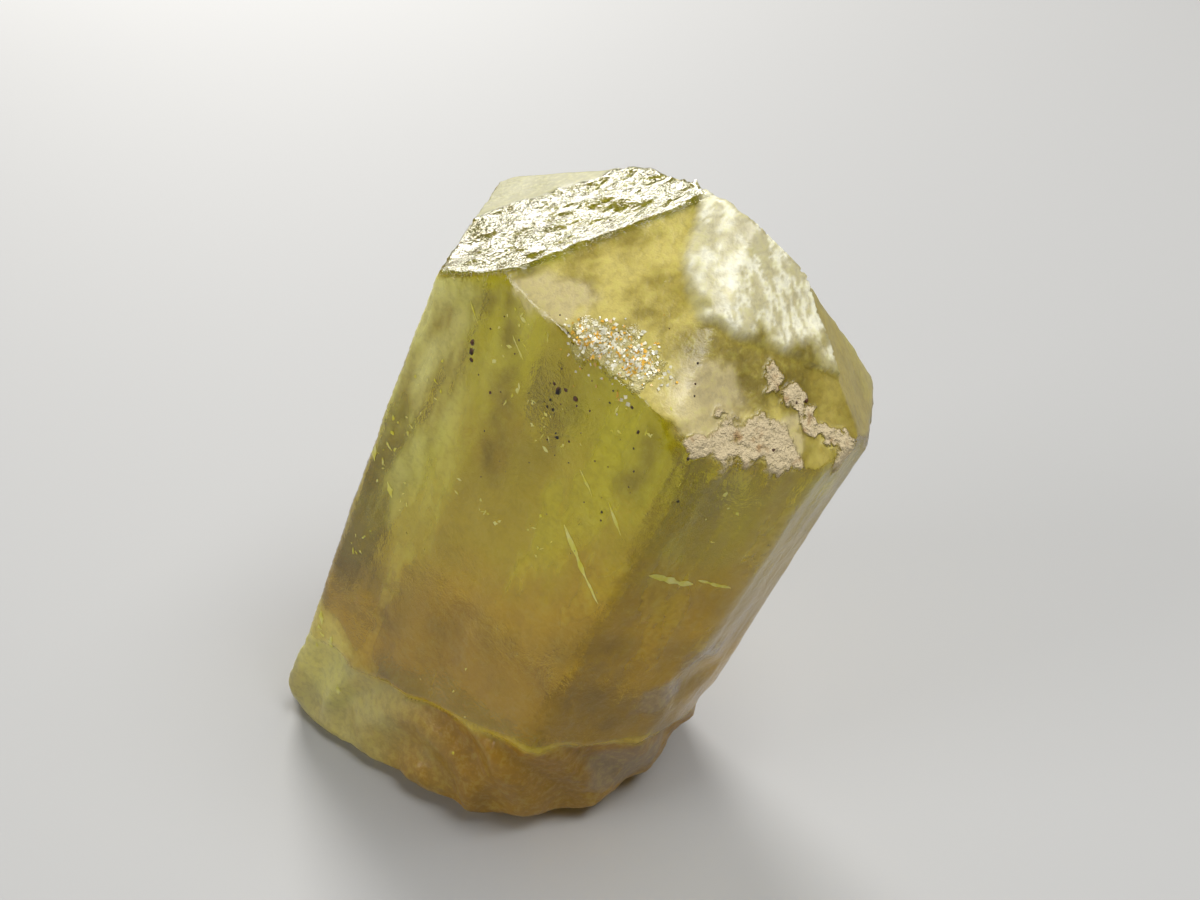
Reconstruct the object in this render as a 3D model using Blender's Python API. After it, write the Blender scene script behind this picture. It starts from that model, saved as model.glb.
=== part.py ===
"""Apatite crystal: a stubby six-sided prism under a low six-sided pyramid, broken off obliquely at its foot.

The crystal is one natural solid. Its side faces stand 60 degrees apart round the long axis, and every
pyramid face leans at apatite's own angle, so the shape follows from how far each face stands from that
axis. The crystal leans over on its broken foot, which is level where it rests.

Two frames are used. In the crystal frame z is the long axis and the shoulder of the prism is near z = 0.
In the standing frame +Z is up and the table is z = 0. Both are in millimetres until the solid is finished.
"""

import math

import bmesh
import bpy
from mathutils import Matrix, Vector, noise

NAME = "apatite_crystal"
MM = 0.001
UP = Vector((0.0, 0.0, 1.0))

# Side faces in order round the long axis: distance from it, and where the pyramid face above starts (mm)
SIDE_DISTANCES = (5.1, 6.95, 6.85, 4.7, 7.3, 6.3)
SHOULDER_HEIGHTS = (0.8, 0.2, 0.4, -0.1, -0.6, -0.8)
SIDE_STEP = 60.0
PYRAMID_SLOPE = 40.3

# Narrow faces that cut two of the prism's upright edges: direction (degrees) and distance (mm)
EDGE_FACES = ((30.0, 6.75), (90.0, 7.2))

# How the crystal stands (degrees), and how high its shoulder is over the table (mm)
LEAN = 22.2
LEAN_TOWARDS = -17.0
TURN = -41.7
SHOULDER_OVER_TABLE = 17.0

# Broken foot. Each facet has a direction (degrees), an undercut (degrees past upright), and the distance
# at which it meets the table (mm), measured from the middle of the foot
FOOT_MIDDLE = (-5.0, 2.5)
BREAK_FACETS = (
    (-152.0, 24.0, 7.4),
    (-126.0, 14.0, 6.2),
    (-97.0, 13.0, 7.0),
    (-62.0, 23.0, 7.0),
    (-30.0, 32.0, 6.9),
    (75.0, 35.0, 4.9),
    (150.0, 28.0, 7.7),
)
UNDER_FACETS = (
    (-122.0, 62.0, 5.3),
    (-84.0, 60.0, 6.0),
    (-45.0, 60.0, 5.7),
    (20.0, 55.0, 4.6),
    (110.0, 58.0, 4.2),
)

# Surface mesh (mm), and how sharp a crease is worn down (degrees)
LONGEST_EDGE = 1.25
REFINE_PASSES = 6
CREASE = 9.0
WEAR_PASSES = 2
WEAR_STRENGTH = 0.3

# Relief (mm): how far it rises or sinks, and how wide it is
SWELL = 0.05
GROWTH_STEP = 0.05
ETCH_DEPTH = 0.13
RIPPLE_HEIGHT = 0.13
RIPPLE_WIDTH = 1.9
RIPPLE_CENTRE = Vector((2.0, -5.0, -17.5))
BREAK_TOP = 4.0
LEDGE_HEIGHT = 0.32
FOOT_CLEAR = 0.06

# Ledge on the pyramid, from the top ridge down, as points on the crystal's cross-section (mm)
LEDGE_LINE = ((-0.4, -0.5), (0.6, -1.7), (1.1, -2.4), (1.9, -2.9), (2.8, -3.2), (3.6, -2.6), (4.9, -0.9))

# Crusts grown on the shoulder: middle in the crystal frame, radius, height (mm)
CRUSTS = (
    (Vector((5.4, -4.0, 0.6)), 1.5, 0.28),
    (Vector((6.5, -2.0, 0.5)), 1.2, 0.26),
    (Vector((5.5, -1.2, 1.5)), 0.9, 0.20),
    (Vector((7.2, -0.3, 0.7)), 0.9, 0.24),
    (Vector((1.8, -4.8, 0.8)), 1.3, 0.22),
    (Vector((-0.9, -4.9, 0.9)), 1.2, 0.16),
)

# Chips in the surface: middle in the crystal frame, radius, depth (mm)
CHIPS = (
    (Vector((0.0, -0.4, 4.5)), 0.9, 0.40),
    (Vector((-3.3, -5.1, -16.2)), 2.0, 0.35),
    (Vector((7.1, -1.0, -9.0)), 1.3, 0.22),
    (Vector((-3.6, -5.1, -8.0)), 0.9, 0.16),
    (Vector((-6.9, 1.6, -7.0)), 1.4, 0.25),
    (Vector((-1.5, 4.7, -4.5)), 1.7, 0.28),
)


def face_normal(direction, slope=0.0):
    """Outward normal of a crystal face, in the crystal frame; slope 0 is parallel to the long axis."""
    turn = math.radians(direction)
    rise = math.radians(slope)
    return Vector((math.sin(turn) * math.cos(rise), -math.cos(turn) * math.cos(rise), math.sin(rise)))


def stand_up():
    """Matrix from the crystal frame to the standing frame."""
    towards = math.radians(LEAN_TOWARDS)
    lean_axis = Vector((-math.sin(towards), math.cos(towards), 0.0))
    lean = Matrix.Rotation(math.radians(LEAN), 4, lean_axis)
    return Matrix.Translation(UP * SHOULDER_OVER_TABLE) @ lean @ Matrix.Rotation(math.radians(TURN), 4, "Z")


def cut(bm, point, normal):
    """Take away what lies outside a plane and close the solid with a flat face."""
    everything = bm.verts[:] + bm.edges[:] + bm.faces[:]
    result = bmesh.ops.bisect_plane(
        bm, geom=everything, plane_co=point, plane_no=normal, clear_outer=True)
    rim = [item for item in result["geom_cut"] if isinstance(item, bmesh.types.BMEdge)]
    if rim:
        bmesh.ops.edgeloop_fill(bm, edges=rim)


def cut_crystal_faces(bm):
    """Side faces, pyramid faces and narrow edge faces, each at its distance from the long axis."""
    for index, distance in enumerate(SIDE_DISTANCES):
        side = face_normal(index * SIDE_STEP)
        cut(bm, side * distance, side)
        shoulder = side * distance + UP * SHOULDER_HEIGHTS[index]
        cut(bm, shoulder, face_normal(index * SIDE_STEP, 90.0 - PYRAMID_SLOPE))
    for direction, distance in EDGE_FACES:
        side = face_normal(direction)
        cut(bm, side * distance, side)


def cut_foot(bm):
    """Level resting face, and the broken facets that curve under round it."""
    cut(bm, Vector((0.0, 0.0, 0.0)), -UP)
    middle = Vector((*FOOT_MIDDLE, 0.0))
    for direction, undercut, distance in BREAK_FACETS + UNDER_FACETS:
        turn = math.radians(direction)
        down = math.radians(undercut)
        outward = Vector((math.cos(turn), math.sin(turn), 0.0))
        cut(bm, middle + outward * distance, outward * math.cos(down) - UP * math.sin(down))


def refine(bm, longest):
    """Halve long edges, pass by pass, keeping every facet flat."""
    bmesh.ops.triangulate(bm, faces=bm.faces[:])
    for _ in range(REFINE_PASSES):
        long_edges = [edge for edge in bm.edges if edge.calc_length() > longest]
        bmesh.ops.subdivide_edges(bm, edges=long_edges, cuts=1)
        bmesh.ops.triangulate(bm, faces=bm.faces[:], quad_method="BEAUTY", ngon_method="BEAUTY")


def wear_edges(bm):
    """Round the creases a little, but not the rim of the resting face."""
    creased = set()
    for edge in bm.edges:
        if edge.calc_face_angle(0.0) > math.radians(CREASE):
            creased.update(edge.verts)
    worn = [vert for vert in creased if vert.co.z > FOOT_CLEAR]
    for _ in range(WEAR_PASSES):
        bmesh.ops.smooth_vert(
            bm, verts=worn, factor=WEAR_STRENGTH, use_axis_x=True, use_axis_y=True, use_axis_z=True)


def smooth_step(low, high, value):
    """0 below low, 1 above high, and an S-curve between them."""
    share = min(max((value - low) / (high - low), 0.0), 1.0)
    return share * share * (3.0 - 2.0 * share)


def side_of_ledge(spot):
    """Signed distance across the ledge line (mm), positive on its higher side, in plan."""
    nearest = None
    for start, end in zip(LEDGE_LINE, LEDGE_LINE[1:]):
        start = Vector(start)
        along = Vector(end) - start
        share = min(max((spot.xy - start).dot(along) / along.length_squared, 0.0), 1.0)
        offset = spot.xy - (start + along * share)
        if nearest is None or offset.length < abs(nearest):
            across = along.x * offset.y - along.y * offset.x
            nearest = math.copysign(offset.length, across)
    return nearest


def relief(spot, normal, height):
    """How far the surface rises (mm) at a spot of the crystal frame that is `height` over the table."""
    rise = SWELL * noise.noise(spot * 0.45) + 0.5 * SWELL * noise.noise(spot * 1.2)
    sideways = smooth_step(0.5, 0.2, abs(normal.z))
    rise += sideways * GROWTH_STEP * noise.noise(Vector((spot.x * 1.1, spot.y * 1.1, spot.z * 0.14)))

    broken = smooth_step(BREAK_TOP, BREAK_TOP - 1.2, height) * smooth_step(0.1, 0.3, -normal.z)
    away = (spot - RIPPLE_CENTRE).length + 0.6 * noise.noise(spot * 0.4)
    rise += broken * RIPPLE_HEIGHT * math.sin(away * 2.0 * math.pi / RIPPLE_WIDTH)

    topward = smooth_step(0.4, 0.65, normal.z)
    etched = topward * smooth_step(0.75, 0.95, normal.dot(face_normal(5 * SIDE_STEP, 90.0 - PYRAMID_SLOPE)))
    rise += etched * ETCH_DEPTH * (0.4 - abs(noise.noise(spot * 0.95)) * 1.6)
    rise += topward * LEDGE_HEIGHT * smooth_step(-0.1, 0.35, side_of_ledge(spot))

    for middle, radius, thickness in CRUSTS:
        ragged = (spot - middle).length + 0.5 * noise.noise(spot * 1.4)
        lumps = 0.75 + 0.5 * noise.noise(spot * 2.1)
        rise += thickness * lumps * smooth_step(radius, radius * 0.6, ragged)
    for middle, radius, depth in CHIPS:
        ragged = (spot - middle).length + 0.4 * noise.noise(spot * 0.9)
        rise -= depth * smooth_step(radius, radius * 0.3, ragged)
    return rise


def shape_surface(bm):
    """Move the surface by the relief; the resting face stays level and nothing goes below it."""
    to_crystal = stand_up().inverted()
    bm.normal_update()
    moved = []
    for vert in bm.verts:
        if vert.co.z > FOOT_CLEAR:
            spot = to_crystal @ vert.co
            normal = to_crystal.to_3x3() @ vert.normal
            near_table = smooth_step(0.0, 1.2, vert.co.z)
            rise = relief(spot, normal, vert.co.z) * near_table
            target = vert.co + vert.normal * rise
            target.z = max(target.z, FOOT_CLEAR)
            moved.append((vert, target))
    for vert, target in moved:
        vert.co = target


def centre_on_foot(bm):
    """Put the origin under the middle of the bounding box."""
    middle = Vector((0.0, 0.0, 0.0))
    for axis in range(2):
        places = [vert.co[axis] for vert in bm.verts]
        middle[axis] = (min(places) + max(places)) / 2.0
    bmesh.ops.translate(bm, verts=bm.verts[:], vec=-middle)


def crystal_material():
    """Clouded golden green gem."""
    material = bpy.data.materials.new("golden_green_apatite")
    material.use_nodes = True
    surface = material.node_tree.nodes["Principled BSDF"]
    surface.inputs["Base Color"].default_value = (0.42, 0.35, 0.04, 1.0)
    surface.inputs["Roughness"].default_value = 0.22
    surface.inputs["Metallic"].default_value = 0.0
    surface.inputs["IOR"].default_value = 1.63
    surface.inputs["Transmission Weight"].default_value = 0.8
    return material


def build_crystal(collection):
    """The whole crystal, as one closed solid in metres."""
    bm = bmesh.new()
    bmesh.ops.create_cube(bm, size=80.0)
    cut_crystal_faces(bm)
    bm.transform(stand_up())
    cut_foot(bm)
    refine(bm, LONGEST_EDGE)
    wear_edges(bm)
    shape_surface(bm)
    centre_on_foot(bm)
    bm.transform(Matrix.Scale(MM, 4))
    mesh = bpy.data.meshes.new(NAME)
    bm.to_mesh(mesh)
    bm.free()
    crystal = bpy.data.objects.new(NAME, mesh)
    crystal.data.materials.append(crystal_material())
    collection.objects.link(crystal)


def main():
    for old in list(bpy.data.objects):
        bpy.data.objects.remove(old, do_unlink=True)
    collection = bpy.data.collections.new(NAME)
    bpy.context.scene.collection.children.link(collection)
    build_crystal(collection)


main()
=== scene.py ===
"""Looks of the apatite crystal: the finely worn and etched surface, the clouded golden green inside, and the
healed cracks, whose glint is painted in as pale strokes and flecks, and dark specks in it, on a plain pale
floor under soft light.

Lengths on the crystal are in millimetres in two frames. In the crystal frame z is the long axis and the
shoulder of the prism is near z = 0. In the standing frame +Z is up and the floor is z = 0.
"""

import math
import random

import bmesh
import bpy
from mathutils import Matrix, Vector, noise
from mathutils.bvhtree import BVHTree

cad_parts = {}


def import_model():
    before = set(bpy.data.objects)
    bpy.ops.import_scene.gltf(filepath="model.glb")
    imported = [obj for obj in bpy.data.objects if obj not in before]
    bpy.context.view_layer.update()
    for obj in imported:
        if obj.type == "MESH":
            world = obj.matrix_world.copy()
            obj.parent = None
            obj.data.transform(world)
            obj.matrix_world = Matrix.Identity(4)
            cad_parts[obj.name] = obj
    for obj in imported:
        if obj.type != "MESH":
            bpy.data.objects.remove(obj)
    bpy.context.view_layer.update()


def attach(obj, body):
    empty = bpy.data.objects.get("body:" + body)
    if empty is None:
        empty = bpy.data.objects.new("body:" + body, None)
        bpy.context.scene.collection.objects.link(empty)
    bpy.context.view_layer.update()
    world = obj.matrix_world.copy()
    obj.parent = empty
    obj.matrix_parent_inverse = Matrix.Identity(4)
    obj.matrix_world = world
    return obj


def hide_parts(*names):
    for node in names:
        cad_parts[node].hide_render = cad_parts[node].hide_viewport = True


NODE = "apatite_crystal"
MM = 0.001
UP = Vector((0.0, 0.0, 1.0))
SEED = 11

# Side faces in order round the long axis: distance from it, and where the pyramid face above starts (mm)
SIDE_DISTANCES = (5.1, 6.95, 6.85, 4.7, 7.3, 6.3)
SHOULDER_HEIGHTS = (0.8, 0.2, 0.4, -0.1, -0.6, -0.8)
SIDE_STEP = 60.0
PYRAMID_SLOPE = 40.3

# Places of some side faces in that order
FRONT_RIGHT = 1
BACK = 3
BACK_LEFT = 4
LEFT = 5

# Narrow faces that cut two of the prism's upright edges: direction (degrees) and distance (mm)
EDGE_FACES = ((30.0, 6.75), (90.0, 7.2))

# How the crystal stands (degrees), and how high its shoulder is over the floor (mm)
LEAN = 22.2
LEAN_TOWARDS = -17.0
TURN = -41.7
SHOULDER_OVER_FLOOR = 17.0

# Broken foot: direction and undercut past upright (degrees), distance at the floor from its middle (mm)
FOOT_MIDDLE = (-5.0, 2.5)
BREAK_FACETS = (
    (-152.0, 24.0, 7.4),
    (-126.0, 14.0, 6.2),
    (-97.0, 13.0, 7.0),
    (-62.0, 23.0, 7.0),
    (-30.0, 32.0, 6.9),
    (75.0, 35.0, 4.9),
    (150.0, 28.0, 7.7),
)
UNDER_FACETS = (
    (-122.0, 62.0, 5.3),
    (-84.0, 60.0, 6.0),
    (-45.0, 60.0, 5.7),
    (20.0, 55.0, 4.6),
    (110.0, 58.0, 4.2),
)

# Block that the faces are cut from, and surface mesh (mm)
BLOCK_SIZE = 80.0
LONGEST_EDGE = 0.27
LONGEST_FINE_EDGE = 0.12
REFINE_PASSES = 8

# Cosine between two normals above which they belong to one face
SAME_FACE = 0.999

# Wear: how sharp a crease is worn down (degrees), how often and how much
CREASE = 5.0
WEAR_PASSES = 9
WEAR_STRENGTH = 0.45

# Upright front edge, worn more: cross-section place, reach, top in the crystal and end over the floor (mm)
FRONT_EDGE = Vector((5.1, -5.1))
FRONT_EDGE_REACH = 1.7
FRONT_EDGE_TOP = -0.4
FRONT_EDGE_END = 3.6
FRONT_EDGE_PASSES = 40

# Ridge that climbs from the front edge: reach, and how far from the long axis it begins (mm)
RIDGE_REACH = 1.0
RIDGE_START = 3.0

# Relief (mm): how far it rises or sinks, and how wide it is
SWELL = 0.05
GROWTH_STEP = 0.05
ETCH_DEPTH = 0.13
RIPPLE_HEIGHT = 0.13
RIPPLE_WIDTH = 1.9
RIPPLE_CENTRE = Vector((2.0, -5.0, -17.5))
LEDGE_HEIGHT = 0.16
FOOT_CLEAR = 0.06
FOOT_FADE = 1.2

# Directions in the crystal frame: of the etch ridges, and of the streaks in the frosted patch
ETCH_FLOW = Vector((0.60, 0.57, 0.56))
FROST_RUN = Vector((0.77, -0.13, -0.62))

# Smooth strip on the etched face: across its edge on the cross-section, and how far out that edge is (mm)
STRIP_ACROSS = Vector((-0.74, 0.68))
STRIP_START = 3.76

# Ledge on the pyramid, from the top ridge down, as points on the crystal's cross-section (mm)
LEDGE_LINE = ((-0.4, -0.5), (0.6, -1.7), (1.1, -2.4), (1.9, -2.9), (2.8, -3.2), (3.6, -2.6), (4.9, -0.9))

# Chips in the surface: middle in the crystal frame, radius, depth (mm)
CHIPS = (
    (Vector((0.0, -0.4, 4.5)), 0.8, 0.20),
    (Vector((7.1, -1.0, -9.0)), 1.3, 0.22),
    (Vector((-6.9, 1.6, -7.0)), 1.4, 0.25),
    (Vector((-1.5, 4.7, -4.5)), 1.7, 0.28),
)

# Upper edge of the broken foot: crystal x, height over the floor (mm)
RIM_LINE = ((-2.9, 4.1), (-1.0, 3.9), (1.5, 4.15), (4.6, 4.8), (6.4, 4.25), (7.0, 4.3), (8.0, 5.5))

# How far that edge wanders everywhere, and how far it swings and drops on the far side (mm)
RIM_WANDER = 0.25
RIM_SWING = 1.6
RIM_DROP = 0.6

# How soft that edge is in front, and how much softer on the far side (mm)
RIM_SOFTNESS = 0.15
RIM_FAR_SOFTNESS = 0.9

# Crystal y between which the front ends, and between which the far side begins (mm)
FRONT_ENDS = (0.5, -2.5)
FAR_SIDE_BEGINS = (-3.0, 0.5)

# Height of a unit normal between which a face stops being upright, and begins to look up
UPRIGHT_NORMALS = (0.5, 0.2)
TOPWARD_NORMALS = (0.4, 0.65)

# Cosine to a face's own normal between which the surface turns into that face
LEFT_FACE_COSINES = (0.78, 0.93)
BACKWARD_COSINES = (0.1, 0.5)

# Where the green turns to gold: height over the floor (mm), its rise to the right, its sway with the clouds
GOLD_LEVEL = 9.8
GOLD_RISE = 0.28
GOLD_SWAY = 3.0

# Edge of a patch, in radii: all outside it, and all inside it
PATCH_OUTSIDE = 1.15
PATCH_INSIDE = 0.65

# Patches: middle in the crystal frame, radius (mm)
PINK_CRUSTS = (
    (Vector((4.95, -4.5, 0.40)), 0.55),
    (Vector((5.35, -3.8, 0.65)), 0.75),
    (Vector((5.75, -3.1, 0.70)), 0.80),
    (Vector((6.20, -2.4, 0.60)), 0.75),
    (Vector((4.90, -1.9, 1.75)), 0.35),
    (Vector((5.45, -1.4, 1.50)), 0.35),
    (Vector((5.95, -1.2, 1.25)), 0.30),
    (Vector((6.30, -1.3, 1.00)), 0.30),
    (Vector((6.80, -0.7, 0.85)), 0.40),
    (Vector((7.20, -0.3, 0.70)), 0.50),
    (Vector((7.45, -0.4, 0.35)), 0.45),
)
PINK_BLUSHES = (
    (Vector((4.4, -3.9, 1.2)), 1.3),
    (Vector((-1.2, -4.9, 1.0)), 0.8),
    (Vector((-0.3, -4.8, 1.2)), 0.9),
    (Vector((6.3, -2.2, 0.8)), 0.7),
)
GLITTER = (
    (Vector((1.0, -4.9, 0.9)), 0.70),
    (Vector((1.8, -4.6, 1.2)), 0.85),
    (Vector((2.6, -4.5, 1.0)), 0.75),
)
BROWN_PATCHES = (
    (Vector((3.5, -3.2, 2.2)), 1.1),
    (Vector((4.4, -2.6, 2.1)), 1.2),
    (Vector((5.1, -1.7, 2.0)), 1.1),
    (Vector((4.2, -3.3, 1.6)), 0.9),
)
GREY_SMUDGES = (
    (Vector((6.9, -1.9, -9.5)), 0.9),
    (Vector((7.3, -1.1, -7.9)), 0.9),
    (Vector((7.4, -0.9, -13.4)), 1.2),
    (Vector((6.9, -2.1, -13.2)), 1.1),
)
GREEN_CORNER = ((Vector((-3.8, -5.1, -16.6)), 2.3),)

# Finer relief that only the looks carry (mm)
FINE_ETCH = 0.08
FINE_STRIPE = 0.012
CRUST_HEIGHT = 0.05
FINE_CRUST = 0.05
RIM_STEP = 0.10
FINE_BREAK = 0.05
FINE_RIB = 0.02

# Pale strokes just under the skin, painted glints of healed cracks that catch the light: two ends in the
# crystal frame, width (mm)
STROKES = (
    (Vector((2.9, -5.1, -4.2)), Vector((4.9, -5.0, -5.6)), 0.20),
    (Vector((5.5, -4.3, -4.15)), Vector((6.35, -3.0, -4.4)), 0.30),
    (Vector((6.40, -2.9, -4.2)), Vector((6.95, -1.9, -4.4)), 0.16),
    (Vector((3.8, -5.1, -2.5)), Vector((4.6, -5.1, -3.1)), 0.10),
    (Vector((2.6, -5.1, -2.3)), Vector((3.3, -5.1, -2.75)), 0.13),
    (Vector((-1.1, -5.1, -0.5)), Vector((-0.5, -5.1, -0.9)), 0.09),
    (Vector((-2.9, -5.1, -0.6)), Vector((-2.3, -5.1, -1.1)), 0.07),
    (Vector((-4.35, -5.1, -7.4)), Vector((-4.1, -5.1, -7.9)), 0.30),
    (Vector((-3.3, -5.1, -8.1)), Vector((-2.95, -5.1, -8.5)), 0.28),
    (Vector((-4.0, -5.1, -15.0)), Vector((-3.8, -5.1, -15.5)), 0.26),
    (Vector((-3.2, -5.1, -15.5)), Vector((-3.1, -5.1, -16.2)), 0.28),
    (Vector((-2.2, -5.1, -17.0)), Vector((-2.1, -5.1, -17.5)), 0.22),
)

# Clusters of pale flecks, painted glints of small healed cracks: middle in the crystal frame, spread (mm),
# how many
FLECKS = (
    (Vector((1.0, -5.1, -2.0)), 0.40, 16),
    (Vector((-0.4, -5.1, -1.4)), 0.50, 8),
    (Vector((-3.2, -5.1, -4.2)), 0.45, 9),
    (Vector((-4.2, -5.1, -7.8)), 0.50, 18),
    (Vector((-2.7, -5.1, -8.1)), 0.30, 6),
    (Vector((-3.6, -5.1, -6.2)), 0.45, 10),
    (Vector((0.2, -5.1, -6.1)), 0.40, 9),
    (Vector((2.2, -5.1, -5.0)), 0.45, 7),
    (Vector((-4.2, -5.1, -11.0)), 0.60, 10),
    (Vector((-3.6, -5.1, -15.9)), 0.55, 16),
    (Vector((5.8, -3.6, -1.4)), 0.70, 9),
    (Vector((3.4, -5.1, 0.4)), 0.60, 8),
    (Vector((-1.0, -5.0, 0.2)), 0.50, 10),
    (Vector((1.5, -5.1, -14.0)), 1.20, 8),
)

# Darker bands inside: two ends in the crystal frame, half width, strength
DARK_BANDS = (
    (Vector((-1.6, -5.1, 0.7)), Vector((-0.8, -5.1, -1.8)), 0.40, 1.0),
    (Vector((-0.8, -5.1, -1.8)), Vector((0.1, -5.1, -4.8)), 0.50, 1.0),
    (Vector((4.3, -5.1, 0.8)), Vector((4.0, -5.1, -1.6)), 0.50, 0.9),
    (Vector((-2.1, -5.1, 0.7)), Vector((-2.3, -5.1, -0.5)), 0.25, 0.9),
    (Vector((-1.4, -5.1, -12.6)), Vector((-0.6, -5.1, -15.0)), 0.60, 0.8),
    (Vector((2.0, -5.1, -9.2)), Vector((5.0, -5.0, -8.6)), 0.80, 0.5),
    (Vector((5.4, -4.2, -7.5)), Vector((6.2, -3.0, -10.5)), 0.80, 0.6),
)

# Lengths and widths of the flecks, steps along a stroke, and height of both over the skin (mm)
FLECK_LENGTH = (0.06, 0.30)
FLECK_WIDTH = (0.04, 0.15)
STROKE_STEP = 0.12
SKIN_LIFT = 0.012

# Loose flakes of the glittering crust: piece, how many, colour
FLAKE_KINDS = (
    ("white_flakes", 340, (0.98, 0.93, 0.68)),
    ("golden_flakes", 140, (0.95, 0.55, 0.08)),
)

# Flakes: spread in patch radii, reach (mm), tilt, height over the skin (mm), shade of the darker ones
FLAKE_SPREAD = 0.45
FLAKE_REACH = (0.025, 0.085)
FLAKE_TILT = 0.4
FLAKE_LIFT = 0.015
FLAKE_SHADE = 0.6

# Dark grains on the surface: place in the crystal frame, radius (mm)
SPECKS = (
    (Vector((-2.3, -5.1, -1.7)), 0.10),
    (Vector((-2.2, -5.1, -1.95)), 0.11),
    (Vector((-2.1, -5.1, -2.2)), 0.08),
    (Vector((-1.9, -5.1, -0.9)), 0.04),
    (Vector((0.7, -5.1, -0.8)), 0.08),
    (Vector((0.9, -5.1, -0.9)), 0.11),
    (Vector((1.1, -5.1, -0.7)), 0.07),
    (Vector((1.5, -5.1, -0.7)), 0.07),
    (Vector((0.8, -5.1, -1.3)), 0.05),
    (Vector((1.0, -5.1, -1.5)), 0.06),
    (Vector((1.5, -5.1, -2.1)), 0.07),
    (Vector((1.9, -5.1, -1.9)), 0.04),
    (Vector((-1.1, -5.1, -2.6)), 0.05),
    (Vector((3.6, -5.1, -0.1)), 0.07),
    (Vector((3.7, -5.1, -0.6)), 0.04),
    (Vector((5.2, -4.9, 0.1)), 0.05),
    (Vector((5.8, -1.1, 1.5)), 0.10),
    (Vector((5.6, -1.4, 1.4)), 0.06),
    (Vector((6.3, -2.6, 0.7)), 0.06),
)

# Finer grains sprinkled round the shoulder: how many, middle, spread along each axis, radius (mm)
SPRINKLE_COUNT = 60
SPRINKLE_MIDDLE = Vector((1.5, -5.0, -1.5))
SPRINKLE_SPREAD = (2.6, 0.8, 1.8)
SPRINKLE_RADIUS = (0.018, 0.045)

# Share of its radius by which a grain is sunk in the skin
GRAIN_SUNK = 0.4

# Colours
BODY_GREEN = (0.66, 0.60, 0.02, 1.0)
BODY_GOLD = (0.78, 0.49, 0.003, 1.0)
BODY_MURK = (0.46, 0.30, 0.004, 1.0)
BAND_BROWN = (0.22, 0.15, 0.003, 1.0)
# Milky haze, painted lighter to stand in for the light that falls on the left side
PALE_HAZE_AND_LEFT_LIGHT = (0.93, 0.89, 0.32, 1.0)
DULL_OLIVE = (0.78, 0.65, 0.18, 1.0)
SHADE_OLIVE = (0.56, 0.51, 0.18, 1.0)
LOWER_BROWN = (0.33, 0.25, 0.03, 1.0)
ETCHED_GREEN = (0.27, 0.26, 0.03, 1.0)
BROKEN_ORANGE = (0.40, 0.17, 0.002, 1.0)
CORNER_GREEN = (0.80, 0.74, 0.18, 1.0)
SMUDGE_GREY = (0.38, 0.29, 0.20, 1.0)
# Painted highlight: a bright band along the upper edge of the broken foot
RIM_HIGHLIGHT_YELLOW = (0.92, 0.70, 0.04, 1.0)
BLUSH_PINK = (0.88, 0.75, 0.42, 1.0)
FROST_WHITE = (0.98, 0.95, 0.72, 1.0)
CRUST_PINK = (0.70, 0.57, 0.34, 1.0)
CRUST_RUST = (0.42, 0.26, 0.11, 1.0)
MOTTLE_DARK = (0.0, 0.0, 0.0, 1.0)
MOTTLE_LIGHT = (1.0, 1.0, 0.2, 1.0)
MOTTLE_STRENGTH = 0.16
# Painted glint of the healed cracks
FLECK_GLINT_PALE = (0.78, 0.73, 0.25, 1.0)
GRAIN_DARK = (0.010, 0.005, 0.002, 1.0)
GRAIN_BROWN = (0.10, 0.035, 0.010, 1.0)
FLOOR_DARKER = (0.36, 0.36, 0.355, 1.0)
FLOOR_LIGHTER = (0.39, 0.39, 0.385, 1.0)

# Inside of the crystal: refraction, strength of its mirror shine, what its depth lets through and how soon
APATITE_IOR = 1.63
SHINE = 0.32
DEPTH_COLOUR = (0.90, 0.86, 0.10, 1.0)
DEPTH_DENSITY = 150.0

# Fineness of each surface's unevenness: per mm on the crystal, per m elsewhere
CRYSTAL_GRAIN = 4.2
FLECK_GRAIN = 2500.0
FLAKE_GRAIN = 3000.0
SPECK_GRAIN = 1500.0
FLOOR_GRAIN = 9.0

# Haze: the least of it, and what the clouds add
LEAST_HAZE = 0.12
CLOUD_HAZE = 0.34

# Roughness of each kind of surface
SIDE_ROUGHNESS = 0.10
BACK_ROUGHNESS = 0.40
PALE_ROUGHNESS = 0.28
DULL_ROUGHNESS = 0.38
STRIP_ROUGHNESS = 0.62
ETCHED_ROUGHNESS = 0.07
BROKEN_ROUGHNESS = 0.35
GLITTER_ROUGHNESS = 0.25
CRUST_ROUGHNESS = 0.70
FLECK_ROUGHNESS = 0.30
FLAKE_ROUGHNESS = 0.10
GRAIN_ROUGHNESS = 0.55
FLOOR_ROUGHNESS = 0.75

# Finest unevenness: its height (m), and its share on the sides against 1 on crusts
BUMP_HEIGHT = 0.0003
BUMP_STRENGTH = 0.8
SIDE_BUMP = 0.10
ETCHED_BUMP = 0.30

# Camera of the photograph: focal length and sensor (mm), how far it looks down (degrees), and its place
# from the middle of the crystal's shoulder (mm)
CAMERA_LENS = 40.6
CAMERA_SENSOR = 36.0
CAMERA_DOWN = 32.0
CAMERA_FROM_SHOULDER = Vector((-1.8, -36.2, 17.7))

# Nearest thing the camera sees, and half the width of the floor (m)
CAMERA_NEAR = 0.001
FLOOR_REACH = 1.5

# Softboxes: name, place (m), size (m), power (W), colour
SOFT_LIGHTS = (
    ("window", Vector((-0.07, 0.26, 0.17)), 0.12, 1.10, (1.0, 0.98, 0.95)),
    ("fill", Vector((-0.26, -0.12, 0.16)), 0.14, 0.34, (1.0, 1.0, 1.0)),
    ("overhead", Vector((0.11, -0.05, 0.27)), 0.16, 0.80, (1.0, 1.0, 1.0)),
)

# Where the softboxes point (m), and the even light from all round
LIGHT_AIM = Vector((0.0, 0.0, 0.01))
SURROUND_COLOUR = (0.80, 0.82, 0.85, 1.0)
SURROUND_STRENGTH = 0.10


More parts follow.
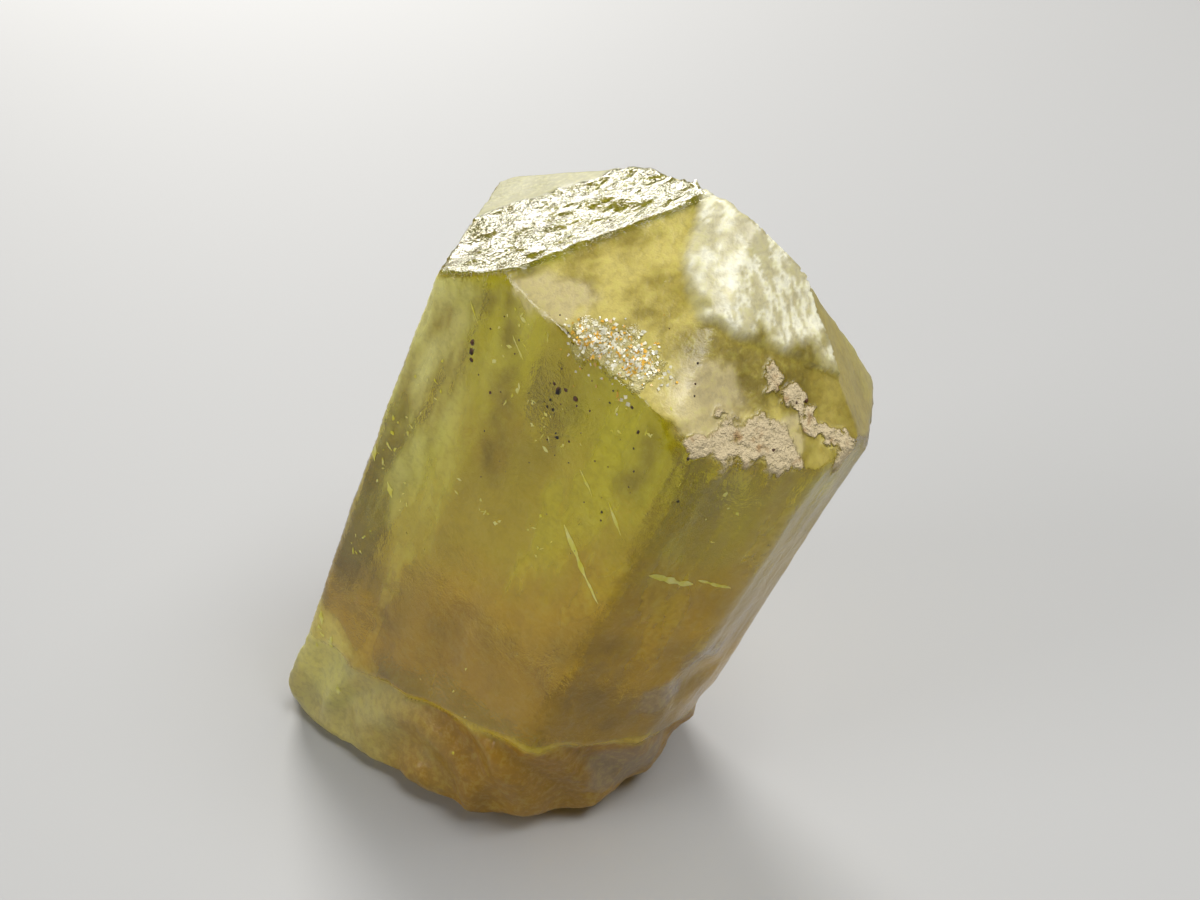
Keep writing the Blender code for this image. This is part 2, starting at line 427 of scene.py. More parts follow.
def face_normal(direction, slope=0.0):
    """Outward normal of a crystal face, in the crystal frame; slope 0 is parallel to the long axis."""
    turn = math.radians(direction)
    rise = math.radians(slope)
    return Vector((math.sin(turn) * math.cos(rise), -math.cos(turn) * math.cos(rise), math.sin(rise)))


def pyramid_normal(side):
    """Outward normal of the pyramid face over a side face."""
    return face_normal(side * SIDE_STEP, 90.0 - PYRAMID_SLOPE)


def stand_up():
    """Matrix from the crystal frame to the standing frame."""
    towards = math.radians(LEAN_TOWARDS)
    lean_axis = Vector((-math.sin(towards), math.cos(towards), 0.0))
    lean = Matrix.Rotation(math.radians(LEAN), 4, lean_axis)
    return Matrix.Translation(UP * SHOULDER_OVER_FLOOR) @ lean @ Matrix.Rotation(math.radians(TURN), 4, "Z")


def cut(bm, point, normal):
    """Take away what lies outside a plane and close the solid with a flat face."""
    everything = bm.verts[:] + bm.edges[:] + bm.faces[:]
    result = bmesh.ops.bisect_plane(
        bm, geom=everything, plane_co=point, plane_no=normal, clear_outer=True)
    rim = [item for item in result["geom_cut"] if isinstance(item, bmesh.types.BMEdge)]
    if rim:
        bmesh.ops.edgeloop_fill(bm, edges=rim)


def cut_crystal_faces(bm):
    """Side faces, pyramid faces and narrow edge faces, each at its distance from the long axis."""
    for index, distance in enumerate(SIDE_DISTANCES):
        side = face_normal(index * SIDE_STEP)
        cut(bm, side * distance, side)
        cut(bm, side * distance + UP * SHOULDER_HEIGHTS[index], pyramid_normal(index))
    for direction, distance in EDGE_FACES:
        side = face_normal(direction)
        cut(bm, side * distance, side)


def cut_foot(bm):
    """Level resting face, and the broken facets that curve under round it."""
    cut(bm, Vector((0.0, 0.0, 0.0)), -UP)
    middle = Vector((*FOOT_MIDDLE, 0.0))
    for direction, undercut, distance in BREAK_FACETS + UNDER_FACETS:
        turn = math.radians(direction)
        down = math.radians(undercut)
        outward = Vector((math.cos(turn), math.sin(turn), 0.0))
        cut(bm, middle + outward * distance, outward * math.cos(down) - UP * math.sin(down))


def refine(bm):
    """Halve long edges, pass by pass, keeping every facet flat; the two marked faces get finer edges."""
    turn = stand_up().to_3x3()
    fine_faces = [turn @ pyramid_normal(side) for side in (LEFT, FRONT_RIGHT)]
    bmesh.ops.triangulate(bm, faces=bm.faces[:])
    for _ in range(REFINE_PASSES):
        long_edges = []
        for edge in bm.edges:
            longest = LONGEST_EDGE
            if any(face.normal.dot(fine) > SAME_FACE for face in edge.link_faces for fine in fine_faces):
                longest = LONGEST_FINE_EDGE
            if edge.calc_length() > longest:
                long_edges.append(edge)
        bmesh.ops.subdivide_edges(bm, edges=long_edges, cuts=1)
        bmesh.ops.triangulate(bm, faces=bm.faces[:], quad_method="BEAUTY", ngon_method="BEAUTY")


def smooth(bm, verts, passes):
    for _ in range(passes):
        bmesh.ops.smooth_vert(
            bm, verts=verts, factor=WEAR_STRENGTH, use_axis_x=True, use_axis_y=True, use_axis_z=True)


def wear_edges(bm):
    """Round the creases a little, and the upright front edge more, but not the rim of the resting face."""
    creased = set()
    for edge in bm.edges:
        if edge.calc_face_angle(0.0) > math.radians(CREASE):
            creased.update(edge.verts)
    ring = set(creased)
    for vert in creased:
        ring.update(edge.other_vert(vert) for edge in vert.link_edges)
    smooth(bm, [vert for vert in ring if vert.co.z > FOOT_CLEAR], WEAR_PASSES)
    to_crystal = stand_up().inverted()
    front_edge = []
    for vert in bm.verts:
        spot = to_crystal @ vert.co
        from_axis = spot.xy.dot(FRONT_EDGE.normalized())
        beside_ridge = (spot.xy - FRONT_EDGE.normalized() * from_axis).length
        if spot.z > FRONT_EDGE_TOP:
            worn = beside_ridge < RIDGE_REACH and from_axis > RIDGE_START
        else:
            worn = (spot.xy - FRONT_EDGE).length < FRONT_EDGE_REACH and vert.co.z > FRONT_EDGE_END
        if worn:
            front_edge.append(vert)
    smooth(bm, front_edge, FRONT_EDGE_PASSES)


def smooth_step(low, high, value):
    """0 below low, 1 above high, and an S-curve between them."""
    share = min(max((value - low) / (high - low), 0.0), 1.0)
    return share * share * (3.0 - 2.0 * share)


def side_of_ledge(spot):
    """Signed distance across the ledge line (mm), positive on its higher side, in plan."""
    nearest = None
    for start, end in zip(LEDGE_LINE, LEDGE_LINE[1:]):
        start = Vector(start)
        along = Vector(end) - start
        share = min(max((spot.xy - start).dot(along) / along.length_squared, 0.0), 1.0)
        offset = spot.xy - (start + along * share)
        if nearest is None or offset.length < abs(nearest):
            across = along.x * offset.y - along.y * offset.x
            nearest = math.copysign(offset.length, across)
    return nearest


def patch_share(spot, patches, raggedness, scale):
    """1 inside ragged round patches, 0 outside; raggedness is in mm."""
    share = 0.0
    ragged = raggedness * noise.fractal(spot * scale, 0.7, 2.1, 5)
    for middle, radius in patches:
        away = ((spot - middle).length + ragged) / radius
        share = max(share, smooth_step(PATCH_OUTSIDE, PATCH_INSIDE, away))
    return share


def rim_height(spot):
    """Height over the floor of the upper edge of the broken foot (mm)."""
    before, height = RIM_LINE[0]
    for reach, level in RIM_LINE[1:]:
        if before < spot.x:
            share = min((spot.x - before) / (reach - before), 1.0)
            height += (level - height) * share
        before = reach
    height += RIM_WANDER * noise.noise(spot * 0.9)
    behind = smooth_step(*FAR_SIDE_BEGINS, spot.y)
    return height + behind * (RIM_SWING * noise.noise(spot * 0.35) - RIM_DROP)


def etch_streaks(spot):
    """Ridges that run up the etched face beside its lower edge, from -1 to 1."""
    along = spot.dot(ETCH_FLOW)
    across = spot - ETCH_FLOW * along
    bent = noise.noise(spot * 0.5) * 0.8
    coarse = noise.noise(across * 1.4 + ETCH_FLOW * (along * 0.5 + bent))
    fine = noise.noise(across * 3.6 + ETCH_FLOW * (along * 1.5 + bent))
    return 0.55 * (1.0 - 3.0 * abs(coarse)) + 0.45 * (1.0 - 3.0 * abs(fine))


def band_share(spot):
    """1 in the middle of the darker bands, 0 away from them."""
    share = 0.0
    wander = 0.35 * noise.noise(spot * 0.8)
    for start, end, half_width, strength in DARK_BANDS:
        along = end - start
        part = min(max((spot - start).dot(along) / along.length_squared, 0.0), 1.0)
        away = (spot - (start + along * part)).length + wander
        patchy = 0.6 + 0.8 * noise.noise(spot * 1.7)
        share = max(share, strength * patchy * smooth_step(half_width * 1.6, half_width * 0.2, away))
    return min(share, 1.0)


def down_slope(spot, across_scale, along_scale):
    """A spot scaled so that noise on the upper right pyramid face runs in streaks down to the right."""
    along = spot.dot(FROST_RUN)
    return (spot - FROST_RUN * along) * across_scale + FROST_RUN * (along * along_scale)


def zones(spot, normal, height):
    """Shares from 0 to 1 of each kind of surface at a spot: what the relief and the materials go by."""
    sideways = smooth_step(*UPRIGHT_NORMALS, abs(normal.z))
    topward = smooth_step(*TOPWARD_NORMALS, normal.z)
    left_face = topward * smooth_step(*LEFT_FACE_COSINES, normal.dot(pyramid_normal(LEFT)))
    into_strip = spot.xy.dot(STRIP_ACROSS) - STRIP_START + 0.7 * noise.noise(spot * 0.7)
    smooth_strip = smooth_step(-0.3, 0.3, into_strip)
    etched = left_face * (1.0 - 0.9 * smooth_strip)
    soft = RIM_SOFTNESS + RIM_FAR_SOFTNESS * smooth_step(*FAR_SIDE_BEGINS, spot.y)
    below_rim = smooth_step(soft, -soft, height - rim_height(spot))
    broken = below_rim * smooth_step(*UPRIGHT_NORMALS, normal.z)
    ledge = topward * smooth_step(-0.05, 0.25, side_of_ledge(spot)) * smooth_step(-0.2, 0.1, -normal.y)
    crust = patch_share(spot, PINK_CRUSTS, 0.36, 1.6)
    facing_back = max(normal.dot(face_normal(side * SIDE_STEP)) for side in (BACK, BACK_LEFT))
    return {
        "sideways": sideways,
        "topward": topward,
        "etched": etched,
        "left_face": left_face,
        "broken": broken,
        "ledge": ledge,
        "crust": crust,
        "backward": smooth_step(*BACKWARD_COSINES, facing_back),
    }


def finish_marks(spot, zone, height):
    """Shares from 0 to 1 that only the material reads: clouds, stains and crusts, and painted light: a
    highlight along the foot's rim and a lighter left side.
    """
    clouds = noise.fractal(spot * 0.22, 0.8, 2.0, 4)
    wisps = noise.fractal(Vector((spot.x * 0.5, spot.y * 0.5, spot.z * 0.14)), 0.6, 2.1, 5)
    over_gold = height - GOLD_LEVEL - GOLD_RISE * spot.x + GOLD_SWAY * clouds
    upper = zone["ledge"] * smooth_step(1.7, 3.0, spot.z + 1.1 * noise.fractal(spot * 0.8, 0.7, 2.0, 4))
    streak = abs(noise.fractal(down_slope(spot, 2.0, 0.7), 0.55, 2.2, 6))
    frost = upper * (0.62 + 0.38 * smooth_step(0.45, 0.08, streak))
    front = smooth_step(*FRONT_ENDS, spot.y)
    # Milky haze on the left front, painted lighter there as if lit from the left
    left_haze_and_light = front * smooth_step(1.0, -4.0, spot.x)
    right_haze = 0.6 * smooth_step(6.7, 7.7, spot.x)
    pale = max(left_haze_and_light, right_haze) * zone["sideways"]
    over_rim = height - rim_height(spot)
    # Thin band just above the foot's rim, where a bright highlight is painted into the colour
    rim = smooth_step(-0.25, 0.0, over_rim) * smooth_step(0.35, 0.05, over_rim) * zone["sideways"]
    left_foot = zone["broken"] * front * smooth_step(2.5, -1.5, spot.x + 2.0 * clouds)
    mist = smooth_step(-0.45, 0.45, noise.fractal(spot * 0.7, 0.6, 2.1, 5))
    return {
        "gold": smooth_step(2.5, -3.0, over_gold),
        "murk": smooth_step(0.0, 0.55, -clouds),
        "haze": smooth_step(0.05, 0.6, wisps),
        "veil": 0.45 + (0.15 + 0.40 * front) * mist,
        "frost": frost,
        "shade": zone["ledge"] * (1.0 - upper),
        "brown": patch_share(spot, BROWN_PATCHES, 0.6, 0.9),
        # Milky haze, painted lighter on the left side as if lit from there
        "pale": pale * smooth_step(-0.9, 0.6, wisps) * smooth_step(-16.0, -4.0, spot.z),
        # Painted highlight along the foot's rim, fading out to the left
        "rim": rim * smooth_step(-3.5, 0.5, spot.x),
        "left_foot": left_foot,
        "band": band_share(spot),
        "rust": smooth_step(0.25, 0.7, noise.fractal(spot * 1.9, 0.6, 2.1, 4)),
        "blush": patch_share(spot, PINK_BLUSHES, 0.5, 0.9),
        "glitter": patch_share(spot, GLITTER, 0.4, 1.2),
        "smudge": patch_share(spot, GREY_SMUDGES, 0.5, 1.0),
        "corner": patch_share(spot, GREEN_CORNER, 0.6, 0.6),
    }


def relief(spot, zone):
    """How far the surface rises (mm): the crystal's main relief."""
    rise = SWELL * noise.noise(spot * 0.45) + 0.5 * SWELL * noise.noise(spot * 1.2)
    rise += zone["sideways"] * GROWTH_STEP * noise.noise(Vector((spot.x * 1.1, spot.y * 1.1, spot.z * 0.14)))
    away = (spot - RIPPLE_CENTRE).length + 0.6 * noise.noise(spot * 0.4)
    rise += zone["broken"] * (RIPPLE_HEIGHT * math.sin(away * 2.0 * math.pi / RIPPLE_WIDTH) - RIM_STEP)
    rise += zone["etched"] * ETCH_DEPTH * (0.4 - abs(noise.noise(spot * 0.95)) * 1.6)
    rise += zone["ledge"] * LEDGE_HEIGHT * (1.0 + 0.6 * noise.noise(spot * 0.7))
    rise += zone["crust"] * CRUST_HEIGHT
    for middle, radius, depth in CHIPS:
        ragged = (spot - middle).length + 0.4 * noise.noise(spot * 0.9)
        rise -= depth * smooth_step(radius, radius * 0.3, ragged)
    return rise


def fine_relief(spot, zone):
    """Etch ridges, growth stripes and crust grains, too fine for the main relief (mm)."""
    rise = zone["etched"] * FINE_ETCH * etch_streaks(spot)
    stripe = noise.noise(Vector((spot.x * 6.0, spot.y * 6.0, spot.z * 0.35)))
    rise += zone["sideways"] * FINE_STRIPE * stripe
    rise += zone["crust"] * FINE_CRUST * noise.noise(spot * 4.5)
    rise += zone["broken"] * FINE_BREAK * noise.noise(spot * 3.0)
    rise += zone["ledge"] * FINE_RIB * noise.noise(down_slope(spot, 2.4, 0.5))
    return rise


def crystal_mesh():
    """The crystal's surface in the standing frame (mm), with its relief and what the material reads."""
    bm = bmesh.new()
    bmesh.ops.create_cube(bm, size=BLOCK_SIZE)
    cut_crystal_faces(bm)
    bm.transform(stand_up())
    cut_foot(bm)
    refine(bm)
    wear_edges(bm)
    bm.normal_update()
    to_crystal = stand_up().inverted()
    turn = to_crystal.to_3x3()
    marks = {}
    places = []
    targets = []
    for vert in bm.verts:
        spot = to_crystal @ vert.co
        zone = zones(spot, turn @ vert.normal, vert.co.z)
        rise = 0.0
        if vert.co.z > FOOT_CLEAR:
            rise = (relief(spot, zone) + fine_relief(spot, zone)) * smooth_step(0.0, FOOT_FADE, vert.co.z)
        target = vert.co + vert.normal * rise
        if vert.co.z > FOOT_CLEAR:
            target.z = max(target.z, FOOT_CLEAR)
        targets.append(target)
        places.append(spot)
        for name, share in (zone | finish_marks(spot, zone, vert.co.z)).items():
            marks.setdefault(name, []).append(share)
    for vert, target in zip(bm.verts, targets):
        vert.co = target
    mesh = bpy.data.meshes.new("crystal_surface")
    bm.to_mesh(mesh)
    bm.free()
    for name, values in marks.items():
        mesh.attributes.new(name, "FLOAT", "POINT").data.foreach_set("value", values)
    flat = [number for place in places for number in place]
    mesh.attributes.new("place", "FLOAT_VECTOR", "POINT").data.foreach_set("vector", flat)
    mesh.shade_smooth()
    return mesh


def to_part_frame(mesh):
    """Matrix from the standing frame (mm) to the part's frame (m): its box stands over the origin."""
    middle = Vector((0.0, 0.0, 0.0))
    for axis in range(2):
        places = [vert.co[axis] for vert in mesh.vertices]
        middle[axis] = (min(places) + max(places)) / 2.0
    return Matrix.Scale(MM, 4) @ Matrix.Translation(-middle)


class Nodes:
    """A small helper that adds nodes to a material and links them."""

    def __init__(self, name):
        self.material = bpy.data.materials.new(name)
        self.material.use_nodes = True
        self.tree = self.material.node_tree
        self.surface = self.tree.nodes["Principled BSDF"]

    def add(self, kind, settings=None, inputs=None):
        node = self.tree.nodes.new(kind)
        for key, value in (settings or {}).items():
            setattr(node, key, value)
        for key, value in (inputs or {}).items():
            self.put(node.inputs[key], value)
        return node

    def put(self, socket, value):
        if isinstance(value, bpy.types.NodeSocket):
            self.tree.links.new(value, socket)
        else:
            socket.default_value = value

    def attribute(self, name, output="Fac"):
        return self.add("ShaderNodeAttribute", {"attribute_name": name}).outputs[output]

    def noise(self, place, scale, detail, roughness):
        node = self.add("ShaderNodeTexNoise", None, {
            "Vector": place, "Scale": scale, "Detail": detail, "Roughness": roughness})
        return node.outputs["Fac"]

    def ramp(self, value, low, high, start=0.0, end=1.0):
        node = self.add("ShaderNodeMapRange", {"interpolation_type": "SMOOTHSTEP"}, {
            "Value": value, "From Min": low, "From Max": high, "To Min": start, "To Max": end})
        return node.outputs["Result"]

    def math(self, operation, first, second=0.0, clamp=False):
        node = self.add("ShaderNodeMath", {"operation": operation, "use_clamp": clamp})
        self.put(node.inputs[0], first)
        self.put(node.inputs[1], second)
        return node.outputs[0]

    def mix(self, share, first, second):
        node = self.add("ShaderNodeMix", {"data_type": "RGBA"})
        self.put(node.inputs["Factor"], share)
        self.put(node.inputs[6], first)
        self.put(node.inputs[7], second)
        return node.outputs[2]

    def blend(self, share, first, second):
        node = self.add("ShaderNodeMix", {"data_type": "FLOAT"})
        self.put(node.inputs["Factor"], share)
        self.put(node.inputs[2], first)
        self.put(node.inputs[3], second)
        return node.outputs[0]


def crystal_colour(n, grain, dull, glitter, pink):
    """Green above and gold below, then every cloud, stain, break and crust, the painted rim highlight and
    the painted light on the left side, laid over it in turn.
    """
    body = n.mix(n.attribute("gold"), BODY_GREEN, BODY_GOLD)
    layers = (
        (n.attribute("murk"), 0.7, BODY_MURK),
        # Milky haze, painted lighter on the left as if lit from there
        (n.attribute("pale"), 0.8, PALE_HAZE_AND_LEFT_LIGHT),
        (n.attribute("band"), 0.9, BAND_BROWN),
        (n.math("MULTIPLY", dull, n.attribute("veil")), 1.0, DULL_OLIVE),
        (n.attribute("left_face"), 0.8, ETCHED_GREEN),
        (n.attribute("shade"), 0.8, SHADE_OLIVE),
        (n.attribute("brown"), 0.85, LOWER_BROWN),
        (n.attribute("broken"), 0.75, BROKEN_ORANGE),
        (n.attribute("left_foot"), 0.6, PALE_HAZE_AND_LEFT_LIGHT),
        (n.attribute("corner"), 0.6, CORNER_GREEN),
        (n.attribute("smudge"), 0.8, SMUDGE_GREY),
        # Painted highlight along the foot's rim
        (n.attribute("rim"), 0.7, RIM_HIGHLIGHT_YELLOW),
        (n.attribute("blush"), 0.7, BLUSH_PINK),
        (n.attribute("frost"), 1.0, FROST_WHITE),
    )
    for share, strength, colour in layers:
        body = n.mix(n.math("MULTIPLY", share, strength), body, colour)
    mottle = n.ramp(grain, 0.30, 0.70, -MOTTLE_STRENGTH, MOTTLE_STRENGTH)
    lighter = n.math("MAXIMUM", mottle, 0.0)
    darker = n.math("MAXIMUM", n.math("MULTIPLY", mottle, -1.0), 0.0)
    body = n.mix(lighter, n.mix(darker, body, MOTTLE_DARK), MOTTLE_LIGHT)
    body = n.mix(n.math("MULTIPLY", glitter, 0.3), body, FROST_WHITE)
    return n.mix(pink, body, n.mix(n.attribute("rust"), CRUST_PINK, CRUST_RUST))


def crystal_clearness(n, dull, glitter, pink):
    """How much light goes through: all but what the strongest haze at a spot holds back."""
    haze = n.math("ADD", LEAST_HAZE, n.math("MULTIPLY", n.attribute("haze"), CLOUD_HAZE))
    hazes = (
        (n.attribute("left_face"), 0.38),
        (n.attribute("frost"), 0.95),
        (n.attribute("gold"), 0.32),
        (n.attribute("blush"), 0.65),
        (n.math("MULTIPLY", dull, n.attribute("veil")), 0.75),
        # The painted rim highlight is made hazy so that it shows as colour
        (n.attribute("rim"), 0.60),
        (glitter, 0.5),
        (pink, 0.97),
        # The left side's milky haze with its painted light is mostly diffuse
        (n.attribute("pale"), 0.85),
        (n.attribute("corner"), 0.70),
        (n.attribute("smudge"), 0.60),
        (n.attribute("band"), 0.40),
        (n.attribute("broken"), 0.55),
    )
    for share, strength in hazes:
        haze = n.math("MAXIMUM", haze, n.math("MULTIPLY", share, strength))
    return n.math("SUBTRACT", 1.0, haze, True)


def crystal_roughness(n, dull, glitter, pink):
    """Smooth sides, a mirror-like etched face, and duller pyramid faces, back, break and crusts."""
    left_roughness = n.blend(n.attribute("etched"), STRIP_ROUGHNESS, ETCHED_ROUGHNESS)
    rough = SIDE_ROUGHNESS
    finishes = (
        (n.attribute("backward"), BACK_ROUGHNESS),
        (n.attribute("pale"), PALE_ROUGHNESS),
        (dull, DULL_ROUGHNESS),
        (n.attribute("left_face"), left_roughness),
        (n.attribute("broken"), BROKEN_ROUGHNESS),
        (glitter, GLITTER_ROUGHNESS),
        (pink, CRUST_ROUGHNESS),
    )
    for share, roughness in finishes:
        rough = n.blend(share, rough, roughness)
    return rough


def crystal_material():
    """Golden green gem: clear with clouds in its skin, worn sides, a glossy etched face and dull crusts."""
    n = Nodes("clouded_apatite")
    grain = n.noise(n.attribute("place", "Vector"), CRYSTAL_GRAIN, 3.0, 0.7)
    ragged = n.math("MULTIPLY", n.math("SUBTRACT", grain, 0.5), 1.3)
    pink = n.ramp(n.math("ADD", n.attribute("crust"), ragged), 0.25, 0.95)
    glitter = n.ramp(n.math("ADD", n.attribute("glitter"), ragged), 0.45, 0.90)
    dull = n.math("MULTIPLY", n.attribute("topward"), n.math("SUBTRACT", 1.0, n.attribute("left_face")))

    etched_bump = n.math("MULTIPLY", n.attribute("etched"), ETCHED_BUMP)
    coarse = n.math("MAXIMUM", pink, n.math("MAXIMUM", glitter, etched_bump))
    height_map = n.math("MULTIPLY", grain, n.blend(coarse, SIDE_BUMP, 1.0))
    bump = n.add("ShaderNodeBump", None, {
        "Strength": BUMP_STRENGTH, "Distance": BUMP_HEIGHT, "Height": height_map})

    n.put(n.surface.inputs["Base Color"], crystal_colour(n, grain, dull, glitter, pink))
    n.put(n.surface.inputs["Transmission Weight"], crystal_clearness(n, dull, glitter, pink))
    n.put(n.surface.inputs["Roughness"], crystal_roughness(n, dull, glitter, pink))
    n.put(n.surface.inputs["Normal"], bump.outputs["Normal"])
    n.surface.inputs["IOR"].default_value = APATITE_IOR
    n.surface.inputs["Specular IOR Level"].default_value = SHINE
    inside = n.add("ShaderNodeVolumeAbsorption", None, {"Color": DEPTH_COLOUR, "Density": DEPTH_DENSITY})
    output = n.tree.nodes["Material Output"]
    n.tree.links.new(inside.outputs["Volume"], output.inputs["Volume"])
    return n.material


def fleck_material():
    """Healed crack, its glint painted in as pale, slightly uneven colour."""
    n = Nodes("glinting_crack_film")
    place = n.add("ShaderNodeTexCoord").outputs["Object"]
    tone = n.ramp(n.noise(place, FLECK_GRAIN, 2.0, 0.6), 0.3, 0.7)
    n.put(n.surface.inputs["Base Color"], n.mix(tone, BODY_GREEN, FLECK_GLINT_PALE))
    n.surface.inputs["Roughness"].default_value = FLECK_ROUGHNESS
    return n.material


def flake_material(name, colour):
    """Tiny mirror-like cleavage flake."""
    n = Nodes(name)
    place = n.add("ShaderNodeTexCoord").outputs["Object"]
    tone = n.ramp(n.noise(place, FLAKE_GRAIN, 2.0, 0.6), 0.3, 0.7)
    shaded = [FLAKE_SHADE * channel for channel in colour]
    n.put(n.surface.inputs["Base Color"], n.mix(tone, (*shaded, 1.0), (*colour, 1.0)))
    n.surface.inputs["Roughness"].default_value = FLAKE_ROUGHNESS
    return n.material


def speck_material():
    """Dark brown mineral grain."""
    n = Nodes("dark_grain")
    place = n.add("ShaderNodeTexCoord").outputs["Object"]
    tone = n.ramp(n.noise(place, SPECK_GRAIN, 2.0, 0.6), 0.4, 0.6)
    n.put(n.surface.inputs["Base Color"], n.mix(tone, GRAIN_DARK, GRAIN_BROWN))
    n.surface.inputs["Roughness"].default_value = GRAIN_ROUGHNESS
    return n.material


def surface_tree(mesh):
    """Search tree of the crystal's surface, in the standing frame (mm)."""
    bm = bmesh.new()
    bm.from_mesh(mesh)
    tree = BVHTree.FromBMesh(bm)
    bm.free()
    return tree


def add_stroke(bm, tree, start, end, width, rng):
    """A tapered ragged streak that lies on the skin between two places given in the standing frame (mm)."""
    offset = Vector([rng.uniform(-50, 50) for _ in range(3)])
    _, normal, _, _ = tree.find_nearest((start + end) / 2.0)
    sideways = (end - start).cross(normal).normalized()
    steps = max(4, int((end - start).length / STROKE_STEP))
    rows = []
    for i in range(steps + 1):
        share = i / steps
        ragged = 0.7 + 0.8 * noise.noise(offset + Vector((share * 6.0, 0.0, 0.0)))
        half = 0.5 * width * ragged * math.sqrt(max(4.0 * share * (1.0 - share), 0.03))
        bend = 0.25 * width * noise.noise(offset + Vector((0.0, share * 3.0, 0.0)))
        row = []
        for side in (-1.0, 1.0):
            place = start.lerp(end, share) + sideways * (side * half + bend)
            skin, skin_normal, _, _ = tree.find_nearest(place)
            row.append(bm.verts.new(skin + skin_normal * SKIN_LIFT))
        rows.append(row)
    for low, high in zip(rows, rows[1:]):
        bm.faces.new((low[0], low[1], high[1], high[0]))


def scatter(rng, spread):
    """A random step with its own spread along each axis."""
    return Vector([rng.gauss(0.0, reach) for reach in spread])


def random_direction(rng):
    return scatter(rng, (1.0, 1.0, 1.0)).normalized()


def add_small_piece(collection, name, bm, material, placed):
    """Turn films or grains in the standing frame (mm) into a piece of the part."""
    mesh = bpy.data.meshes.new(name)
    bm.to_mesh(mesh)
    bm.free()
    mesh.transform(placed)
    mesh.materials.append(material)
    mesh.shade_smooth()
    piece = bpy.data.objects.new(name, mesh)
    collection.objects.link(piece)
    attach(piece, "root")


def add_flecks(collection, tree, placed):
    """Pale strokes and clusters of flecks, painted glints of healed cracks that show just under the skin."""
    rng = random.Random(SEED)
    stand = stand_up()
    bm = bmesh.new()
    for start, end, width in STROKES:
        add_stroke(bm, tree, stand @ start, stand @ end, width, rng)
    for middle, spread, count in FLECKS:
        for _ in range(count):
            start = stand @ (middle + scatter(rng, (spread, spread, spread)))
            reach = random_direction(rng) * rng.uniform(*FLECK_LENGTH)
            add_stroke(bm, tree, start, start + reach, rng.uniform(*FLECK_WIDTH), rng)
    add_small_piece(collection, "glinting_crack_flecks", bm, fleck_material(), placed)


def add_flakes(collection, tree, placed):
    """The glittering crust on the front shoulder: loose white and golden flakes, each tilted its own way."""
    rng = random.Random(SEED)
    stand = stand_up()
    for name, count, colour in FLAKE_KINDS:
        bm = bmesh.new()
        for _ in range(count):
            middle, radius = GLITTER[rng.randrange(len(GLITTER))]
            away = scatter(rng, (FLAKE_SPREAD, FLAKE_SPREAD, FLAKE_SPREAD)) * radius
            skin, normal, _, _ = tree.find_nearest(stand @ (middle + away))
            tilted = (normal + random_direction(rng) * FLAKE_TILT).normalized()
            along = tilted.cross(random_direction(rng)).normalized() * rng.uniform(*FLAKE_REACH)
            across = tilted.cross(along) * rng.uniform(0.5, 1.0)
            back = along * rng.uniform(0.5, 1.0)
            lifted = skin + normal * FLAKE_LIFT
            corners = (lifted + along, lifted + across, lifted - back, lifted - across)
            bm.faces.new([bm.verts.new(corner) for corner in corners])
        add_small_piece(collection, name, bm, flake_material(name, colour), placed)


def add_grain(bm, place, radius, rng):
    """One angular grain."""
    made = bmesh.ops.create_icosphere(bm, subdivisions=1, radius=radius)["verts"]
    shape = Matrix.Diagonal((rng.uniform(0.7, 1.2), rng.uniform(0.7, 1.2), rng.uniform(0.7, 1.4), 1.0))
    turn = Matrix.Rotation(rng.uniform(0.0, math.pi), 4, random_direction(rng))
    for vert in made:
        vert.co = place + turn @ shape @ vert.co * rng.uniform(0.8, 1.2)


def add_specks(collection, tree, placed):
    """Dark grains half sunk in the surface, with a sprinkle of finer ones round the shoulder."""
    rng = random.Random(SEED + 1)
    stand = stand_up()
    bm = bmesh.new()
    for spot, radius in SPECKS:
        place, normal, _, _ = tree.find_nearest(stand @ spot)
        add_grain(bm, place - normal * radius * GRAIN_SUNK, radius, rng)
    for _ in range(SPRINKLE_COUNT):
        spot = SPRINKLE_MIDDLE + scatter(rng, SPRINKLE_SPREAD)
        place, normal, _, _ = tree.find_nearest(stand @ spot)
        radius = rng.uniform(*SPRINKLE_RADIUS)
        add_grain(bm, place - normal * radius * GRAIN_SUNK, radius, rng)
    add_small_piece(collection, "dark_specks", bm, speck_material(), placed)


def add_crystal(collection):
    """The crystal's fine surface, in place of its plain solid."""
    mesh = crystal_mesh()
    placed = to_part_frame(mesh)
    tree = surface_tree(mesh)
    mesh.transform(placed)
    crystal = bpy.data.objects.new("crystal_surface", mesh)
    mesh.materials.append(crystal_material())
    collection.objects.link(crystal)
    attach(crystal, "root")
    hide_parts(NODE)
    add_flecks(collection, tree, placed)
    add_flakes(collection, tree, placed)
    add_specks(collection, tree, placed)
    return placed


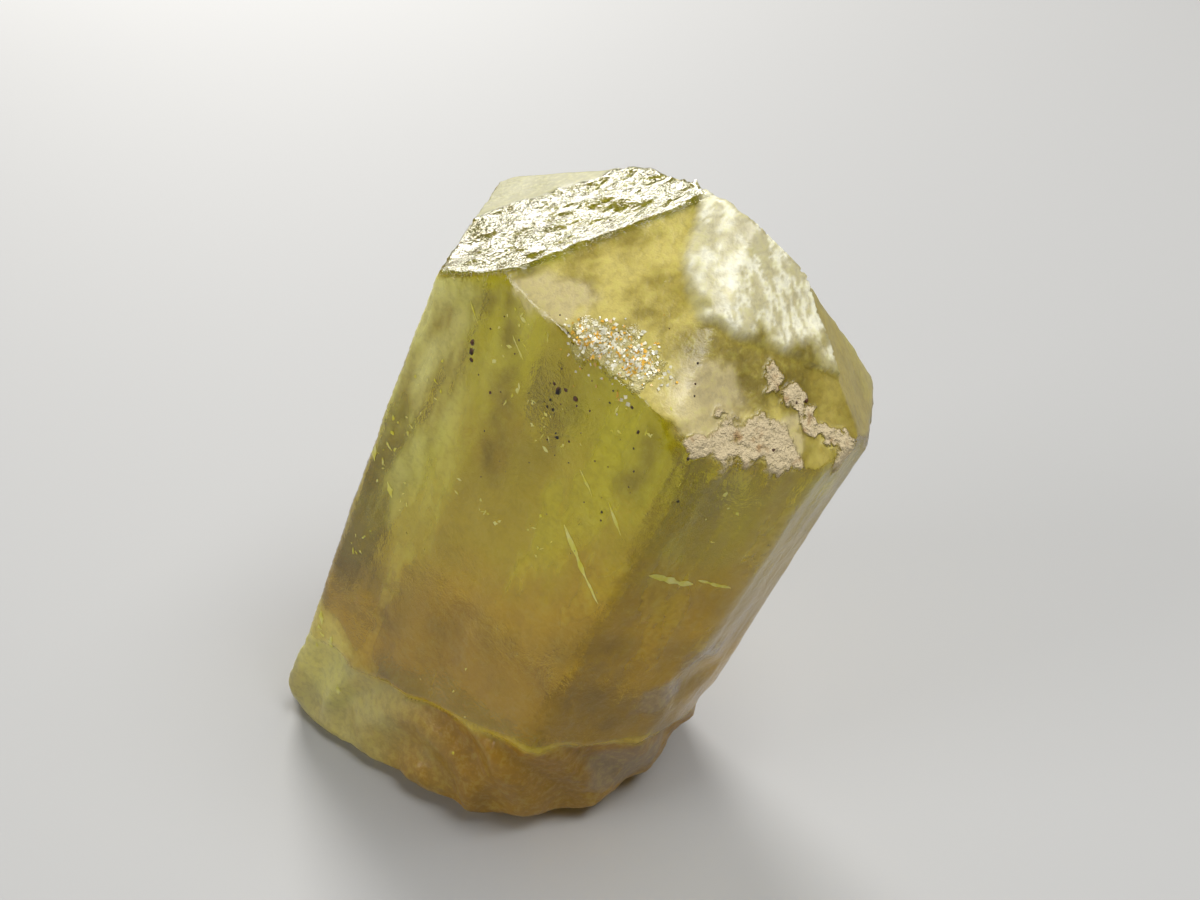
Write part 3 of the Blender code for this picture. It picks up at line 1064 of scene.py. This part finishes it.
def floor_material():
    n = Nodes("pale_floor")
    soft = n.noise(n.add("ShaderNodeTexCoord").outputs["Object"], FLOOR_GRAIN, 1.0, 0.5)
    n.put(n.surface.inputs["Base Color"], n.mix(soft, FLOOR_DARKER, FLOOR_LIGHTER))
    n.surface.inputs["Roughness"].default_value = FLOOR_ROUGHNESS
    return n.material


def add_floor(collection):
    """A plain pale floor, far wider than the crystal."""
    bm = bmesh.new()
    bmesh.ops.create_grid(bm, x_segments=1, y_segments=1, size=FLOOR_REACH)
    mesh = bpy.data.meshes.new("floor")
    bm.to_mesh(mesh)
    bm.free()
    mesh.materials.append(floor_material())
    floor = bpy.data.objects.new("floor", mesh)
    collection.objects.link(floor)


def add_camera(collection, placed):
    """The photograph's view: level, looking down at the crystal."""
    data = bpy.data.cameras.new("camera")
    data.lens = CAMERA_LENS
    data.sensor_width = CAMERA_SENSOR
    data.clip_start = CAMERA_NEAR
    camera = bpy.data.objects.new("camera", data)
    camera.location = placed @ (UP * SHOULDER_OVER_FLOOR + CAMERA_FROM_SHOULDER)
    camera.rotation_euler = (math.radians(90.0 - CAMERA_DOWN), 0.0, 0.0)
    collection.objects.link(camera)
    bpy.context.scene.camera = camera


def add_soft_light(collection, name, place, size, power, colour):
    """A square softbox that faces the crystal."""
    data = bpy.data.lights.new(name, "AREA")
    data.shape = "SQUARE"
    data.size = size
    data.energy = power
    data.color = colour
    light = bpy.data.objects.new(name, data)
    light.location = place
    light.rotation_mode = "QUATERNION"
    light.rotation_quaternion = (LIGHT_AIM - light.location).to_track_quat("-Z", "Y")
    collection.objects.link(light)


def add_light(collection):
    """Soft window light from behind, weaker ones from the left and from above, and an even surround."""
    for name, place, size, power, colour in SOFT_LIGHTS:
        add_soft_light(collection, name, place, size, power, colour)
    world = bpy.data.worlds.new("surround")
    world.use_nodes = True
    background = world.node_tree.nodes["Background"]
    background.inputs["Color"].default_value = SURROUND_COLOUR
    background.inputs["Strength"].default_value = SURROUND_STRENGTH
    bpy.context.scene.world = world


def main():
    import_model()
    bpy.context.scene.view_settings.view_transform = "Standard"
    collection = bpy.data.collections.new("apatite_look")
    bpy.context.scene.collection.children.link(collection)
    placed = add_crystal(collection)
    add_floor(collection)
    add_camera(collection, placed)
    add_light(collection)
    bpy.context.view_layer.update()


main()
